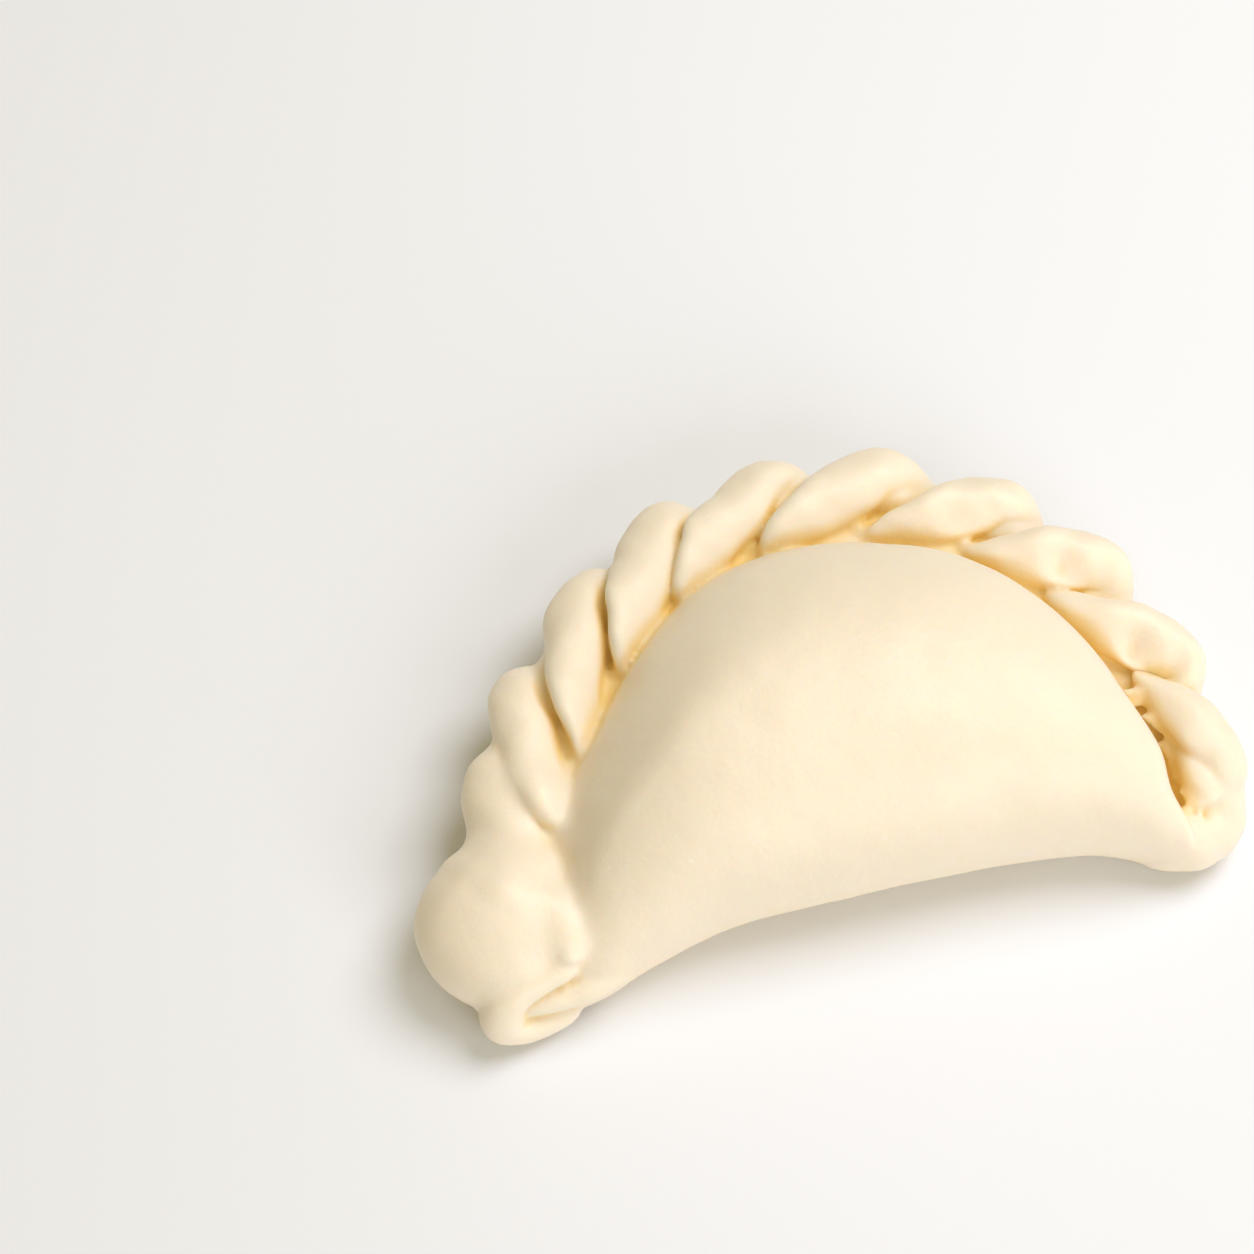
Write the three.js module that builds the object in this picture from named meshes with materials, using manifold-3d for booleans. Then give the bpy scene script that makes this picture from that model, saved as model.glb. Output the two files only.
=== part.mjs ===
// A raw empanada lying on its flat underside: a plump half-round of folded dough
// whose curved edge is twisted into a thick rope.
// Units are millimetres and +Z is up. The fold faces -Y, the rope runs round the back
// from the left end (-X) to the right end (+X). The origin is the middle of the
// bounding box, at the level the empanada rests on.
import * as THREE from "three";
import Module from "manifold-3d";

const wasm = await Module();
wasm.setup();

// ---------- driving dimensions ----------

// Dome, the filled belly of the empanada. Pairs are values at the ends and in the middle,
// unless they say otherwise.
const DOME_HEIGHT = 32;
const END_HEIGHT = 9.5; // height of the belly where it runs into the two ends
const ARCH_FULLNESS = 2.4; // how flat the ridge of the dome runs from end to end
const ARCH_POWER = [1.15, 0.7]; // how slowly it rises from the left and from the right end
const ARCH_POWER_CHANGES = [0.1, 0.45]; // where along the belly, 0 left and 1 right
const SEAM_HEIGHT = [7, 11];
const FOLD_HEIGHT = [5.5, 13]; // height of the foremost line of the fold
const FOLD_RADIUS = [4, 13.5]; // how far the fold rounds under
const WIDEST_ROUNDING = 0.42; // share of the belly's width that this may take
const END_LIFT = 2.5; // how far the underside rises at the two ends
const END_LIFT_SPAN = 0.09; // share of the belly's length
const UNDERSIDE_RISE = 10; // width of the strip that rises from the flat to the seam
const WIDEST_RISE = 0.4; // share of the belly's width that this may take
const CREST = 0.47; // where the top of the dome lies between fold and seam
const FRONT_FULLNESS = 2.1; // 2 is an ellipse, more is boxier
const BACK_FULLNESS = [1.35, 2.2]; // left side, right side
const BACK_FULLNESS_CHANGES = [0.2, 0.75];

// Plan of the belly: the fold in front and the seam behind, left end to right end.
const FOLD_PLAN = [
  [-45.5, -31], [-40, -30.7], [-32, -28.2], [-20, -25.9], [0, -25.2],
  [18, -24.8], [30, -25.4], [38, -26.9], [44.5, -28],
];
const SEAM_PLAN = [
  [-45.5, -27.5], [-46, -19], [-45, -9.5], [-40, 1.2], [-33.4, 10], [-26, 18.6],
  [-16, 25.8], [-4, 28.9], [10, 27], [22, 21.8], [31.5, 12.5], [38.2, 0.5], [41.6, -11],
  [43, -19], [44, -24.5],
];

// Rope: its centre line, left end to right end.
const ROPE_LINE = [
  [-50.5, -13.5, 9], [-49.6, -2.6, 9.2], [-43.2, 10.2, 9.8], [-32.6, 23.2, 10.4],
  [-19, 32.8, 10.8], [-3, 37.8, 11], [13.5, 36.8, 11], [28.4, 29.9, 10.8],
  [39.4, 18.2, 10.4], [46.2, 4, 9.8], [48.6, -11, 9], [46, -24, 8],
];
// Core of the rope at even steps of its length: radius, then how far outwards and up.
const ROPE_CORE = [
  [4.5, -1.4, 0.7], [4.5, -1.4, 0.7], [4.5, -1.4, 0.7], [4.4, -1.2, 0.6], [4.3, -1, 0.5],
  [4, -0.7, 0.3], [3.6, -0.4, 0], [2.6, 1.6, -0.5], [2.2, 2.2, -0.8],
];
const FLANGE_THICKNESS = 4.5; // double dough between the seam and the rope
const FLANGE_RISE = [3.5, 0]; // how far it climbs the dome's flank, left and right
const FLANGE_RISE_CHANGES = [0.45, 0.8];
const FLANGE_DROP = [1.5, 5]; // how far below the rope's middle it meets the flank
const FLANGE_DROP_CHANGES = [0.72, 0.9];
const FLANGE_OVERLAP = 0.2; // how far it runs into the belly, as a share of the width there

// Lobes of the twist: distance of each head along the rope. The round bulb takes the place
// of the first one.
const LOBE_PLACES = [13.8, 29.2, 45.3, 62.3, 80.2, 97.4, 113.6, 129.7, 146.3, 162.5];
const LOBE_SIZES = [1, 1, 0.95, 1.04, 0.99, 1.04, 0.98, 1.01, 1, 0.84];
const PLACE_BEFORE_FIRST = -4; // where a lobe before the first one would lie
const PLACE_AFTER_LAST = 178;
const PLACE_SOFTENING = 0.35; // share of a spacing over which the spacing changes
// One lobe from the tip of its tail on the dome to its hidden start beneath the rope: share
// of the lobe spacing from its head, then outwards, up, half width and half thickness.
const LOBE_STATIONS = [
  [-1.6, -8.6, 2.4, 1, 0.8],
  [-1.25, -7.4, 3.4, 2.8, 1.8],
  [-0.85, -4.8, 4, 4, 2.8],
  [-0.5, -1.4, 4, 4.6, 3.6],
  [-0.25, 1.6, 3, 4.6, 4.2],
  [-0.03, 2.8, 1.2, 4.5, 4.4],
  [0.2, 1.2, -1, 3.7, 3.6],
  [0.42, -0.6, -2.6, 3, 2.8],
  [0.65, -1.8, -3.2, 2.4, 2.2],
];
const LOBE_TAIL_REACH = [1.2, 1.2, 1.2, 1.15, 1.1, 1.05, 1, 0.9, 0.8, 0.5];
const LOBE_TAIL_LENGTH = [1, 0.8]; // left and right
const LOBE_LEAN = [8, -4]; // degrees a lobe leans over its neighbour, left and right
const LOBE_SKEW = [0.4, -0.3]; // how much wider its side towards the tail is
const LAST_LOBE_OUTWARD = 1.6; // how far the last lobe stands off the dome
const RIGHT_STARTS = [0.4, 0.8]; // share of the lobes over which left turns into right
// Where along a lobe, in lobe spacings from its head, these come in and go out again.
const LEAN_SPAN = [[-1.6, -0.8], [0.6, 0]];
const SKEW_SPAN = [[-0.4, -0.9]];
const OUTWARD_SPAN = [[0.1, -0.3], [-1.3, -0.6]];

// Ends: centre lines with the half width across and half thickness at each point.
const BULB = {
  line: [[-44.5, 7.5, 9.5], [-49.6, 0.2, 10.8], [-49.8, -7.4, 10.4], [-52.6, -18.5, 9.6],
    [-53.8, -30.6, 6.4]],
  sizes: [[4, 4], [5.6, 5.2], [5.9, 5.4], [12.6, 9], [7.4, 5.2]],
};
const RIM = {
  line: [[-45.4, -10.5, 13.4], [-44.6, -15.5, 14.4], [-43.6, -19.5, 14.9], [-43, -23, 14.8],
    [-43.1, -25.8, 13.8], [-44.4, -27.8, 12.2]],
  sizes: [[1.8, 1.8], [2, 2], [2.1, 2.1], [2.2, 2.2], [2.2, 2.2], [1.8, 1.8]],
};
// A lip that is rolled round the tongue, so its centre line is a C seen from the front.
const LIP = {
  line: [[-42.9, -26.6, 11.6], [-46, -27.8, 11.3], [-49, -28.5, 10.8], [-52, -29.3, 10],
    [-54.3, -30.2, 8.6], [-55.3, -31, 6.4], [-54.8, -31.6, 4.6], [-52.4, -31.9, 3.5],
    [-49.6, -31.6, 3.2], [-46.8, -30.8, 3.4], [-43.8, -29.9, 4.4]],
  sizes: [[1.6, 1.6], [2, 2], [2.1, 2.1], [2.4, 2.4], [2.9, 2.9], [3.3, 3.3], [3, 3],
    [2.4, 2.4], [2.1, 2.1], [2, 2], [1.6, 1.6]],
  upright: new THREE.Vector3(0, 1, 0),
};
const TONGUE = {
  line: [[-35, -25, 8.5], [-41.4, -28.8, 8], [-45.2, -30, 7.6], [-49.4, -30.6, 7.2],
    [-53.2, -30.9, 6.6]],
  sizes: [[3.5, 3.8], [2.7, 2.8], [2, 2], [1.6, 1.5], [1, 0.9]],
};
const RIGHT_CORNER = {
  line: [[38, -21.5, 6.2], [43, -23.9, 5.8], [46.8, -25, 5.4], [50.4, -23.4, 5.6],
    [51.2, -18, 6.8], [49.4, -12, 8]],
  sizes: [[4.4, 4.8], [4.5, 4.9], [3.8, 4.3], [3.2, 4.2], [3.3, 4.6], [3.4, 4.2]],
};
const INNER_FOLD = {
  line: [[46.2, -10.5, 8.6], [46.9, -14, 9.6], [47.7, -18, 10], [49, -21.8, 9]],
  sizes: [[1.6, 2.2], [2.3, 3], [2.7, 3.2], [2, 2.6]],
};
// Torn flakes in the gap between belly and rope: corners and thickness.
const FLAKES = [
  { corners: [[42.4, -6.6, 11.4], [45.6, -8.6, 13], [47, -12.2, 12.8], [45.5, -12.4, 11.6],
    [44.4, -9.8, 10.8]], thickness: 1 },
  { corners: [[43.6, -10.4, 9.4], [45, -11, 10.6], [45.4, -13.4, 10.8], [44.6, -14.2, 9.6]],
    thickness: 1.2 },
  { corners: [[44.4, -13.6, 9], [45.6, -14.2, 10.4], [45.6, -17, 10.2], [44.6, -16.6, 9]],
    thickness: 1.2 },
  { corners: [[46.3, -12.8, 12.4], [47.6, -14, 13], [48.2, -16.4, 12], [46.2, -15.6, 11.8]],
    thickness: 0.9 },
  { corners: [[44.6, -18.4, 9.8], [46.2, -19.4, 11.4], [47.2, -21.8, 10.8], [45, -21.4, 9.6]],
    thickness: 0.9 },
  { corners: [[40.8, -2.4, 11.6], [43.6, -3.4, 13], [44, -5.4, 12], [41.4, -4.8, 10.8]],
    thickness: 1 },
];

// How finely the surfaces are divided.
const BELLY_SECTIONS = 36;
const BELLY_QUARTER_STEPS = 8;
const LOBE_STEPS = 16;
const LOBE_SIDES = 14;
const END_STEPS_PER_POINT = 2.4;
const END_SIDES = 12;
const CORE_STEPS = 28;
const CORE_SIDES = 8;
const ARC_LENGTH_DIVISIONS = 400;
const FRAME_REACH = 1.5; // distance before and behind over which a direction is taken
const END_ROUNDING = 0.1; // share of a strip's length that rounds off its end
const LOBE_END_ROUNDING = 0.08;

const DOUGH = new THREE.MeshStandardMaterial({ color: "#f4e6c3", roughness: 0.5, metalness: 0 });

// ---------- helpers ----------

const { lerp, degToRad } = THREE.MathUtils;

// 0 at a, 1 at b, with a soft start and end; a may be the larger of the two.
function ease(a, b, x) {
  const t = THREE.MathUtils.clamp((x - a) / (b - a), 0, 1);
  return t * t * (3 - 2 * t);
}

// A curve through the points, measured by its length and carried on straight at both ends.
class Line {
  constructor(points) {
    const corners = points.map(([x, y, z = 0]) => new THREE.Vector3(x, y, z));
    this.curve = new THREE.CatmullRomCurve3(corners, false, "catmullrom", 0.5);
    this.curve.arcLengthDivisions = ARC_LENGTH_DIVISIONS;
    this.length = this.curve.getLength();
  }

  at(s) {
    const inside = THREE.MathUtils.clamp(s / this.length, 0, 1);
    const point = this.curve.getPointAt(inside);
    const beyond = s - inside * this.length;
    return point.addScaledVector(this.curve.getTangentAt(inside), beyond);
  }

  // Directions square to the curve: level to its left, and up.
  frame(s) {
    const along = this.at(s + FRAME_REACH).sub(this.at(s - FRAME_REACH)).normalize();
    const out = new THREE.Vector3(-along.y, along.x, 0).normalize();
    const up = new THREE.Vector3().crossVectors(along, out);
    return { out, up };
  }
}

// A closed solid through a row of closed rings, which all have the same number of points.
function loft(rings) {
  const sides = rings[0].length;
  const positions = [];
  const faces = [];
  for (const ring of rings) {
    for (const p of ring) {
      positions.push(p.x, p.y, p.z);
    }
  }
  for (let i = 0; i + 1 < rings.length; i++) {
    for (let j = 0; j < sides; j++) {
      const a = i * sides + j;
      const b = i * sides + ((j + 1) % sides);
      faces.push(a, b, b + sides, a, b + sides, a + sides);
    }
  }
  const last = (rings.length - 1) * sides;
  for (const [first, ring, turned] of [[0, rings[0], true], [last, rings.at(-1), false]]) {
    const middle = ring.reduce((sum, p) => sum.add(p), new THREE.Vector3()).divideScalar(sides);
    const pole = positions.length / 3;
    positions.push(middle.x, middle.y, middle.z);
    for (let j = 0; j < sides; j++) {
      const a = first + j;
      const b = first + ((j + 1) % sides);
      faces.push(...(turned ? [b, a, pole] : [a, b, pole]));
    }
  }
  return facingOut(positions, faces);
}

// A manifold solid from a triangle list, turned so that it has a positive volume.
function facingOut(positions, faces) {
  const vertProperties = new Float32Array(positions);
  const triVerts = new Uint32Array(faces);
  const solid = new wasm.Manifold(new wasm.Mesh({ numProp: 3, vertProperties, triVerts }));
  if (solid.volume() > 0) {
    return solid;
  }
  return new wasm.Manifold(
    new wasm.Mesh({ numProp: 3, vertProperties, triVerts: triVerts.reverse() }),
  );
}

// A smooth row of numbers between the given rows, for t from 0 to 1.
function rowAt(rows, t) {
  const x = t * (rows.length - 1);
  const i = Math.min(Math.floor(x), rows.length - 2);
  const f = x - i;
  return rows[i].map((b, k) => {
    const c = rows[i + 1][k];
    const a = i > 0 ? rows[i - 1][k] : 2 * b - c;
    const d = i + 2 < rows.length ? rows[i + 2][k] : 2 * c - b;
    const bend = (2 * a - 5 * b + 4 * c - d) * f ** 2 + (3 * b - 3 * c + d - a) * f ** 3;
    return b + 0.5 * ((c - a) * f + bend);
  });
}

// The ring of an ellipse about a centre, along two directions. A skewed one is narrower
// on its first side and wider on the other.
function ellipse(centre, across, halfAcross, upright, halfUpright, sides, skew = 0) {
  return Array.from({ length: sides }, (_, j) => {
    const angle = (2 * Math.PI * j) / sides;
    const sideways = Math.cos(angle) * (1 - skew * Math.sign(Math.cos(angle)));
    return centre
      .clone()
      .addScaledVector(across, halfAcross * sideways)
      .addScaledVector(upright, halfUpright * Math.sin(angle));
  });
}

// The product of several eases at one place.
function within(spans, x) {
  return spans.reduce((product, [a, b]) => product * ease(a, b, x), 1);
}

// Shrinks to almost nothing over the given share at both ends, as a rounded end does.
function roundedEnds(t, share) {
  const nearest = Math.min(t, 1 - t);
  const deepest = 0.98;
  const depth = THREE.MathUtils.clamp(1 - nearest / share, 0, deepest);
  return Math.sqrt(1 - depth * depth);
}

// ---------- belly ----------

// One section of the belly between a point of the fold and a point of the seam.
function bellySection(front, seam, t) {
  const width = front.distanceTo(seam);
  const inward = seam.clone().sub(front).normalize();
  const power = lerp(...ARCH_POWER, ease(...ARCH_POWER_CHANGES, t));
  const arch = (1 - Math.abs(2 * t - 1) ** ARCH_FULLNESS) ** power;
  const top = lerp(END_HEIGHT, DOME_HEIGHT, arch);
  const seamHeight = lerp(...SEAM_HEIGHT, arch);
  const foldHeight = lerp(...FOLD_HEIGHT, arch);
  const under = Math.min(lerp(...FOLD_RADIUS, arch), WIDEST_ROUNDING * width);
  const crest = CREST * width;
  const flatEnd = width - Math.min(UNDERSIDE_RISE, WIDEST_RISE * width);
  const back = 2 / lerp(...BACK_FULLNESS, ease(...BACK_FULLNESS_CHANGES, t));
  const fore = 2 / FRONT_FULLNESS;
  const lift = END_LIFT * ease(END_LIFT_SPAN, 0, Math.min(t, 1 - t));
  const quarters = [
    (c, s) => [crest + (width - crest) * c ** back, seamHeight + (top - seamHeight) * s ** back],
    (c, s) => [crest * (1 - s ** fore), foldHeight + (top - foldHeight) * c ** fore],
    (c, s) => [under * (1 - c), foldHeight * (1 - s)],
    (c, s, share) => [lerp(under, flatEnd, share), 0],
    (c, s) => [flatEnd + (width - flatEnd) * s, seamHeight * (1 - c)],
  ];
  const ring = [];
  for (const quarter of quarters) {
    for (let i = 0; i < BELLY_QUARTER_STEPS; i++) {
      const share = i / BELLY_QUARTER_STEPS;
      const angle = (share * Math.PI) / 2;
      const [reach, height] = quarter(Math.cos(angle), Math.sin(angle), share);
      const point = front.clone().addScaledVector(inward, reach);
      ring.push(point.setZ(Math.max(height, lift)));
    }
  }
  return ring;
}

function belly() {
  const fold = new Line(FOLD_PLAN);
  const seam = new Line(SEAM_PLAN);
  const rings = [];
  for (let i = 0; i <= BELLY_SECTIONS; i++) {
    const t = i / BELLY_SECTIONS;
    rings.push(bellySection(fold.at(t * fold.length), seam.at(t * seam.length), t));
  }
  return loft(rings);
}

// ---------- rope ----------

const rope = new Line(ROPE_LINE);

// Place along the rope for a count of lobes, where whole numbers are the bulges.
function placeOf(count) {
  const places = [PLACE_BEFORE_FIRST, ...LOBE_PLACES, PLACE_AFTER_LAST];
  const linear = (x) => {
    const i = THREE.MathUtils.clamp(Math.floor(x), 0, places.length - 2);
    return lerp(places[i], places[i + 1], x - i);
  };
  const before = linear(count - PLACE_SOFTENING);
  const after = linear(count + PLACE_SOFTENING);
  return (before + 2 * linear(count) + after) / 4;
}

// One lobe: it starts as a thin tail on the dome, climbs over the rope while running
// forward, stands out as a round head and turns away beneath.
function lobe(index) {
  const count = index + 1;
  const last = LOBE_PLACES.length - 1;
  const right = ease(...RIGHT_STARTS, index / last);
  const stations = [];
  for (let i = 0; i <= LOBE_STEPS; i++) {
    const t = i / LOBE_STEPS;
    const [share, outward, lift, half, thick] = rowAt(LOBE_STATIONS, t);
    const w = share < 0 ? share * lerp(...LOBE_TAIL_LENGTH, right) : share;
    const reach = outward < 0 ? outward * LOBE_TAIL_REACH[index] : outward;
    const standing = index === last ? LAST_LOBE_OUTWARD : 0;
    const place = placeOf(count + w);
    const { out, up } = rope.frame(place);
    const offset = out
      .multiplyScalar(reach + standing * within(OUTWARD_SPAN, w))
      .addScaledVector(up, lift);
    const centre = rope.at(place).add(offset);
    stations.push({ t, w, half, thick, offset, centre });
  }
  return loft(
    stations.map(({ t, w, half, thick, offset, centre }, i) => {
      const before = stations[Math.max(i - 1, 0)].centre;
      const after = stations[Math.min(i + 1, LOBE_STEPS)].centre;
      const along = after.clone().sub(before).normalize();
      const across = new THREE.Vector3().crossVectors(along, offset).normalize();
      const normal = new THREE.Vector3().crossVectors(across, along);
      const lean = -degToRad(lerp(...LOBE_LEAN, right)) * within(LEAN_SPAN, w);
      across.applyAxisAngle(along, lean);
      normal.applyAxisAngle(along, lean);
      const size = LOBE_SIZES[index] * roundedEnds(t, LOBE_END_ROUNDING);
      const skew = lerp(...LOBE_SKEW, right) * within(SKEW_SPAN, w);
      return ellipse(centre, across, half * size, normal, thick * size, LOBE_SIDES, skew);
    }),
  );
}

// The rope's core, which fills the hollow between the lobes.
function ropeCore() {
  const rings = [];
  for (let i = 0; i <= CORE_STEPS; i++) {
    const t = i / CORE_STEPS;
    const [radius, outward, lift] = rowAt(ROPE_CORE, t);
    const { out, up } = rope.frame(t * rope.length);
    const centre = rope
      .at(t * rope.length)
      .addScaledVector(out, outward)
      .addScaledVector(up, lift);
    rings.push(ellipse(centre, out, radius, up, radius, CORE_SIDES));
  }
  return loft(rings);
}

// The double dough that joins the belly's flank to the rope.
function flange() {
  const seam = new Line(SEAM_PLAN);
  const fold = new Line(FOLD_PLAN);
  const half = FLANGE_THICKNESS / 2;
  const rings = [];
  for (let i = 0; i <= CORE_STEPS; i++) {
    const t = i / CORE_STEPS;
    const rise = lerp(...FLANGE_RISE, ease(...FLANGE_RISE_CHANGES, t));
    const drop = lerp(...FLANGE_DROP, ease(...FLANGE_DROP_CHANGES, t));
    const outer = rope.at(t * rope.length);
    const inner = seam.at(t * seam.length).lerp(fold.at(t * fold.length), FLANGE_OVERLAP);
    inner.setZ(outer.z - drop);
    rings.push([
      inner.clone().setZ(inner.z + half + rise),
      outer.clone().setZ(outer.z + half),
      outer.clone().setZ(outer.z - half),
      inner.clone().setZ(inner.z - half),
    ]);
  }
  return loft(rings);
}

// ---------- ends ----------

// A rounded strip along a line, with its half width and half thickness at each point.
function strip({ line, sizes, upright = new THREE.Vector3(0, 0, 1) }) {
  const { curve } = new Line(line);
  const steps = Math.round(END_STEPS_PER_POINT * line.length);
  const rings = [];
  for (let i = 0; i <= steps; i++) {
    const t = i / steps;
    const along = curve.getTangent(t);
    const across = new THREE.Vector3().crossVectors(upright, along).normalize();
    const normal = new THREE.Vector3().crossVectors(along, across);
    const closing = roundedEnds(t, END_ROUNDING);
    const [half, thick] = rowAt(sizes, t).map((size) => size * closing);
    rings.push(ellipse(curve.getPoint(t), across, half, normal, thick, END_SIDES));
  }
  return loft(rings);
}

// A thin flat flake with straight torn edges.
function flake({ corners, thickness }) {
  const [first, second, third, ...rest] = corners.map((corner) => new THREE.Vector3(...corner));
  const edge = second.clone().sub(first);
  const half = edge.cross(third.clone().sub(first)).setLength(thickness / 2);
  const outline = [first, second, third, ...rest];
  return loft([
    outline.map((corner) => corner.clone().sub(half)),
    outline.map((corner) => corner.clone().add(half)),
  ]);
}

// ---------- the empanada ----------

function dough() {
  const pieces = [belly(), flange(), ropeCore()];
  for (let index = 1; index < LOBE_PLACES.length; index++) {
    pieces.push(lobe(index));
  }
  pieces.push(...[BULB, RIM, LIP, TONGUE, RIGHT_CORNER, INNER_FOLD].map(strip));
  pieces.push(...FLAKES.map(flake));
  return pieces.reduce((whole, piece) => whole.add(piece));
}

function toGeometry(solid) {
  const mesh = solid.getMesh();
  const geometry = new THREE.BufferGeometry();
  geometry.setAttribute("position", new THREE.BufferAttribute(mesh.vertProperties, 3));
  geometry.setIndex(new THREE.BufferAttribute(mesh.triVerts, 1));
  geometry.computeBoundingBox();
  const { min, max } = geometry.boundingBox;
  geometry.translate(-(min.x + max.x) / 2, -(min.y + max.y) / 2, -min.z);
  geometry.computeVertexNormals();
  return geometry;
}

const empanada = new THREE.Mesh(toGeometry(dough()), DOUGH);
empanada.name = "empanada";

const group = new THREE.Group();
group.add(empanada);

export default group;
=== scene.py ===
"""The look of a raw empanada: a plump half-round of folded dough with a twisted rope edge.

Shapes are worked out in millimetres in the same plan as the solid, fused into one fine
mesh, set on the solid's box and given a procedural dough material.
"""

import math

import bmesh
import bpy
import numpy as np
from mathutils import Matrix, Vector
from mathutils.bvhtree import BVHTree
from mathutils.kdtree import KDTree

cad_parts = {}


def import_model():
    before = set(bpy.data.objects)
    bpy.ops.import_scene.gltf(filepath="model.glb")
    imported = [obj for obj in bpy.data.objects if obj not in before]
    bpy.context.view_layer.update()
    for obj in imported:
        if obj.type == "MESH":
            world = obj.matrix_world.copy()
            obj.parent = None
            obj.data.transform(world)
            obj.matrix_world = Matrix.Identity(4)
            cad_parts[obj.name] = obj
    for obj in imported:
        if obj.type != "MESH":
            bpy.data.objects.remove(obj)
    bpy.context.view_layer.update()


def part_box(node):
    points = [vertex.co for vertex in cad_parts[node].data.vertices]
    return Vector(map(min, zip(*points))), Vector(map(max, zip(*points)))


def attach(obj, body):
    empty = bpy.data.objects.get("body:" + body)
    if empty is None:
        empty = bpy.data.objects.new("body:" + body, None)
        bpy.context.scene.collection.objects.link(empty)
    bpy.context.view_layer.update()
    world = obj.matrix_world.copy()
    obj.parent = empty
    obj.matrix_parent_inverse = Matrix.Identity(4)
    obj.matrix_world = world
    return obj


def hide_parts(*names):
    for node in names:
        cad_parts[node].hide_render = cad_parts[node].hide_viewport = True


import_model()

MM = 0.001

# ---------------------------------------------------------------- driving dimensions, mm

# The belly. A span is the share of its length over which the left value turns into the right.
DOME_HEIGHT = 32.0
END_HEIGHT = 9.5
ARCH_SQUARENESS = 2.4
ARCH_POWER = (1.15, 0.7)  # left and right
ARCH_SPAN = (0.1, 0.45)
SEAM_HEIGHT = (7.0, 11.0)  # at the ends and in the middle, as the next two
FOLD_HEIGHT = (5.5, 13.0)
FOLD_RADIUS = (4.0, 13.5)
FOLD_RADIUS_LIMIT = 0.42  # share of the belly's depth, as the next limit and the crest
UNDERSIDE_RISE = 10.0
UNDERSIDE_RISE_LIMIT = 0.4
CREST = 0.47
FRONT_FULLNESS = 2.1
BACK_FULLNESS = (1.35, 2.2)  # left and right, as the next two
CREST_SOFTNESS = (0.16, 0.0)
CREST_POWER = (0.83, 1.0)
FULLNESS_SPAN = (0.2, 0.75)
END_LIFT = 2.5
END_LIFT_SPANS = ((0.09, 0.0), (0.91, 1.0))  # share of the length over which each end lifts

FOLD_PLAN = [
    (-45.5, -31), (-40, -30.7), (-32, -28.2), (-20, -25.9), (0, -25.2),
    (18, -24.8), (30, -25.4), (38, -26.9), (44.5, -28),
]
SEAM_PLAN = [
    (-45.5, -27.5), (-46, -19), (-45, -9.5), (-40, 1.2), (-33.4, 10), (-26, 18.6),
    (-16, 25.8), (-4, 28.9), (10, 27.0), (22, 21.8), (31.5, 12.5), (38.2, 0.5), (41.6, -11),
    (43.0, -19), (44, -24.5),
]
ROPE_LINE = [
    (-50.5, -13.5, 9), (-49.6, -2.6, 9.2), (-43.2, 10.2, 9.8), (-32.6, 23.2, 10.4),
    (-19, 32.8, 10.8), (-3, 37.8, 11), (13.5, 36.8, 11), (28.4, 29.9, 10.8),
    (39.4, 18.2, 10.4), (46.2, 4, 9.8), (48.6, -11, 9), (46, -24, 8),
]
# Core of the rope at even steps of its length: radius, then how far outwards and up.
ROPE_CORE = [
    (4.5, -1.4, 0.7), (4.5, -1.4, 0.7), (4.5, -1.4, 0.7), (4.4, -1.2, 0.6), (4.3, -1, 0.5),
    (4, -0.7, 0.3), (3.6, -0.4, 0), (2.6, 1.6, -0.5), (2.2, 2.2, -0.8),
]

# Heads of the lobes along the rope's line. The bulb stands in for the first lobe.
LOBE_PLACES = [13.8, 28.9, 47.4, 62.3, 79.4, 96.6, 113.1, 129, 145.6, 162.2]
LOBE_SIZES = [1, 0.96, 0.95, 1.04, 0.99, 1.04, 0.98, 1.01, 1.0, 0.84]
PLACE_BEFORE_FIRST = -4.0
PLACE_AFTER_LAST = 178.0
# One lobe from the tip of its tail to its hidden start: share of the lobe spacing
# from its head, then outwards, up, half width and half thickness.
LOBE_STATIONS = [
    (-1.60, -8.4, 2.4, 1.6, 1.0),
    (-1.25, -7.2, 3.4, 3.6, 2.1),
    (-0.85, -4.8, 4.0, 4.7, 3.0),
    (-0.50, -1.4, 4.0, 4.8, 3.6),
    (-0.25, 1.8, 3.0, 4.6, 4.2),
    (-0.03, 2.7, 1.2, 4.4, 4.4),
    (0.20, 0.8, -1.0, 3.5, 3.6),
    (0.42, -0.6, -2.6, 3.0, 2.8),
    (0.65, -1.8, -3.2, 2.4, 2.2),
]
# Pairs for left and right turn from one into the other over this share of the lobes.
RIGHT_SPAN = (0.4, 0.8)
LOBE_END_ROUNDING = 0.08
LOBE_TAIL_REACH = [1.2, 1.2, 1.2, 1.15, 1.1, 1.05, 1, 0.9, 0.8, 0.5]
LAST_LOBE_OUTWARD = 1.6
LAST_LOBE_LENGTH = 0.86  # share of its tail that the last lobe keeps
LOBE_TAIL_LENGTH = (1.0, 0.8)  # left and right, as the next three
LOBE_TAIL_WIDTH = (1.0, 0.82)
LOBE_LEAN = (8.0, -4.0)  # degrees
LOBE_SKEW = (0.4, -0.3)  # how much wider the side towards the tail is
# Where along a lobe these set in, in lobe spacings from its head.
LAST_LOBE_OUTWARD_SPANS = ((0.1, -0.3), (-1.3, -0.6))
LOBE_LEAN_SPANS = ((-1.6, -0.8), (0.6, 0))
LOBE_TAIL_WIDTH_SPAN = (-0.35, -0.8)
LOBE_SKEW_SPAN = (-0.4, -0.9)
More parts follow.
